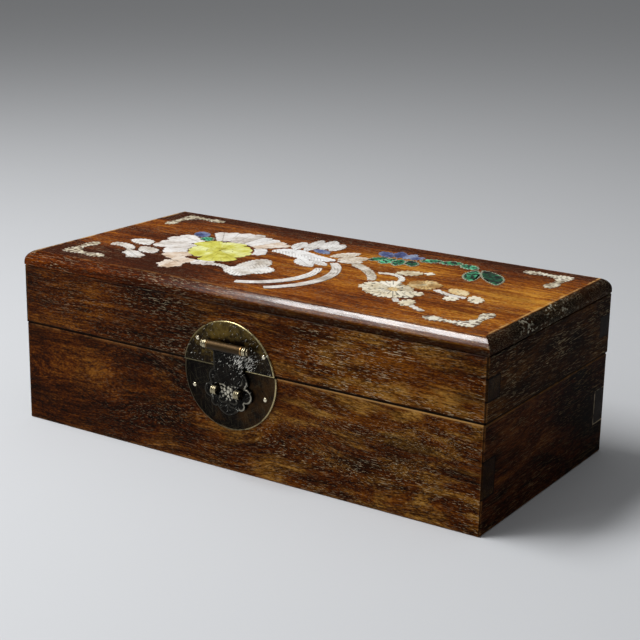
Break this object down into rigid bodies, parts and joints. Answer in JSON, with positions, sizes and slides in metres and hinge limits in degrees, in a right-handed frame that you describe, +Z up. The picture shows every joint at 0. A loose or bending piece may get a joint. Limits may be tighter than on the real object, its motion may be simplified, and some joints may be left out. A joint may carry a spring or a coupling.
{
  "type": "inlaid wooden box",
  "caption": "Oblong hinged wooden box for ink sticks and an ink stone, with a moulded lid inlaid with flowers and a bird, and a round brass lock plate with a hasp.",
  "frame": {"origin": "middle of the underside of the box, on the surface that it stands on", "axes": "+X right along the front, +Y to the back where the hinges are, +Z up"},
  "size_m": [0.301, 0.1563, 0.1016],
  "materials": {
    "rosewood": "oiled and waxed old hardwood",
    "aged_brass": "dark aged brass, bright on worn edges",
    "mother_of_pearl": "polished shell",
    "rosy_shell": "polished shell",
    "yellow_stone": "polished soft stone",
    "amber_stone": "polished soft stone",
    "green_stone": "polished soft stone",
    "blue_stone": "polished soft stone"
  },
  "bodies": {
    "base": {"base_front_board": "rosewood", "base_back_board": "rosewood", "base_left_board": "rosewood", "base_right_board": "rosewood", "bottom_panel": "rosewood", "lock_plate_lower": "aged_brass", "lock_nails_lower": "aged_brass", "staple_left": "aged_brass", "staple_right": "aged_brass", "hinge_leaf_lower_left": "aged_brass", "hinge_leaf_lower_right": "aged_brass", "hinge_pin_left": "aged_brass", "hinge_pin_right": "aged_brass", "hinge_nails_lower": "aged_brass"},
    "lid": {"lid_front_board": "rosewood", "lid_back_board": "rosewood", "lid_left_board": "rosewood", "lid_right_board": "rosewood", "top_panel": "rosewood", "lock_plate_upper": "aged_brass", "lock_nails_upper": "aged_brass", "rod_eye_left": "aged_brass", "rod_eye_right": "aged_brass", "hasp_rod": "aged_brass", "hinge_leaf_upper_left": "aged_brass", "hinge_leaf_upper_right": "aged_brass", "hinge_nails_upper": "aged_brass", "inlay_corner_scrolls": "mother_of_pearl", "inlay_peony_heart": "yellow_stone", "inlay_white_petals": "mother_of_pearl", "inlay_rosy_petals": "rosy_shell", "inlay_leaf_sprays": "mother_of_pearl", "inlay_bird": "mother_of_pearl", "inlay_bird_coverts": "rosy_shell", "inlay_tail_ribbons": "mother_of_pearl", "inlay_stems": "mother_of_pearl", "inlay_right_blossoms": "mother_of_pearl", "inlay_amber_blossoms": "amber_stone", "inlay_green_leaves": "green_stone", "inlay_blue_leaves": "blue_stone"},
    "hasp": {"hasp_flap": "aged_brass"}
  },
  "joints": [
    {"name": "lid_hinge", "type": "hinge", "parent": "base", "child": "lid", "pos_m": [0, 0.07235, 0.0585], "axis": [-1, 0, 0], "range_deg": [0, 105]},
    {"name": "hasp_hinge", "type": "hinge", "parent": "lid", "child": "hasp", "pos_m": [-0.0025, -0.07765, 0.0706], "axis": [-1, 0, 0], "range_deg": [0, 180]}
  ]
}
